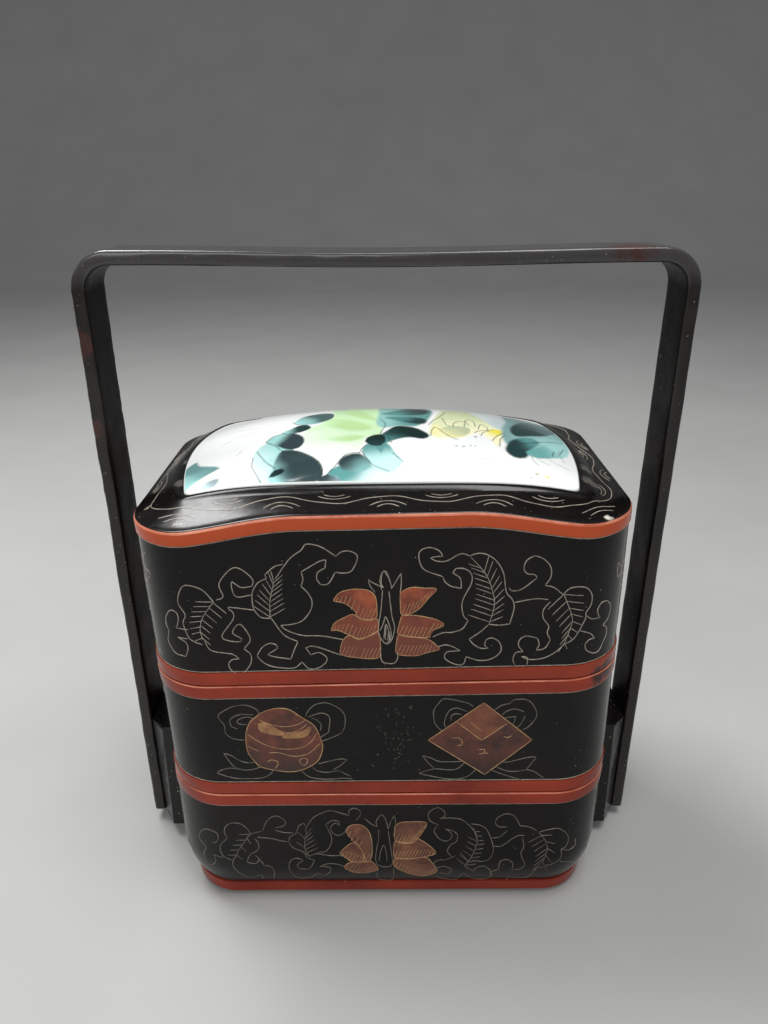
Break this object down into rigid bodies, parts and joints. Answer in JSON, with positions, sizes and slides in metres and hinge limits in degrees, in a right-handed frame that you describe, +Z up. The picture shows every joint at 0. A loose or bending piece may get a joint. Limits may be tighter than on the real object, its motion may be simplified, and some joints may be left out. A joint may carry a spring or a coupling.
{
  "type": "stacking lunch box",
  "caption": "Black lacquer stacking lunch box with red bands, two open trays under a deep lid set with a curved painted porcelain panel, and a tall fixed carrying handle.",
  "frame": {"origin": "middle of the foot on the surface it stands on", "axes": "-Y to the front, +X to the right seen from the front, +Z up"},
  "size_m": [0.2586, 0.1368, 0.2999],
  "materials": {
    "black_lacquer": "glossy black lacquer over wood, with red lacquer bands at the seams",
    "porcelain_glaze": "glossy white glaze, painted under it"
  },
  "bodies": {
    "root": {"bottom_tier": "black_lacquer", "middle_tier": "black_lacquer", "lid": "black_lacquer", "handle": "black_lacquer", "left_spacer_block": "black_lacquer", "right_spacer_block": "black_lacquer", "porcelain_panel": "porcelain_glaze"}
  },
  "joints": []
}
